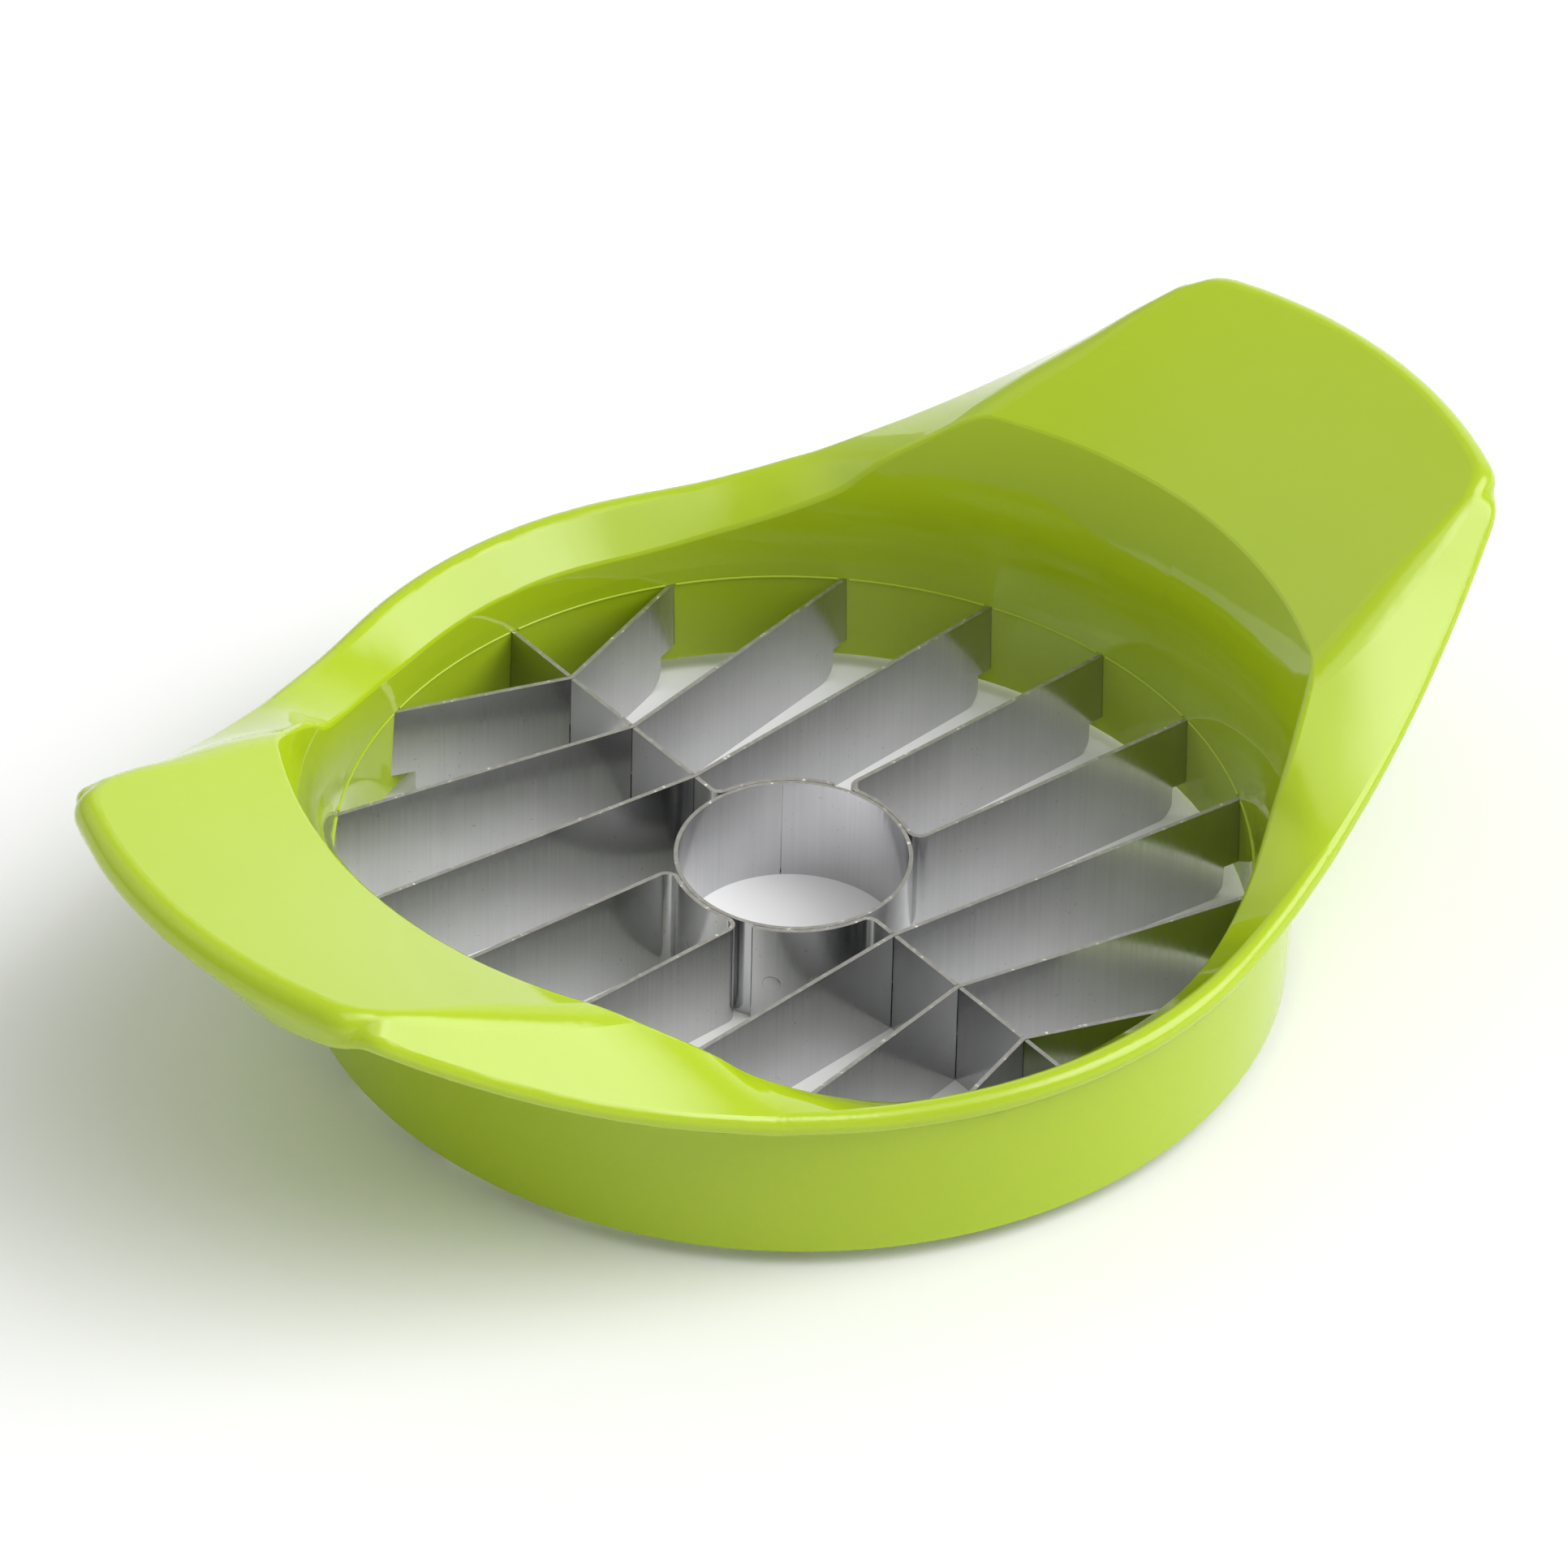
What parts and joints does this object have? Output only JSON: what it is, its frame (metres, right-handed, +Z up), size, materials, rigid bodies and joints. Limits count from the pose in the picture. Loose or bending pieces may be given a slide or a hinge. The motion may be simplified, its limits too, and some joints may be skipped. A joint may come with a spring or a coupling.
{
  "type": "apple wedge press",
  "caption": "Hand press that cores an apple and cuts it into wedges: steel strips and a core ring moulded into an oval frame with two raised grips.",
  "frame": {"origin": "on the bore's axis, in the plane of the cutting edges that the press rests on", "axes": "+Z up out of the bore, +X out over one grip, +Y along the cutter's spine"},
  "size_m": [0.1676, 0.1126, 0.044],
  "materials": {
    "green_plastic": "gloss",
    "steel": "bright rolled"
  },
  "bodies": {
    "root": {"frame": "green_plastic", "core_ring": "steel", "spine_blade_rear": "steel", "cross_blade_rear_inner": "steel", "cross_blade_rear_middle": "steel", "cross_blade_rear_outer": "steel", "spine_blade_front": "steel", "cross_blade_front_inner": "steel", "cross_blade_front_middle": "steel", "cross_blade_front_outer": "steel", "forked_blade_right": "steel", "forked_blade_left": "steel"}
  },
  "joints": []
}
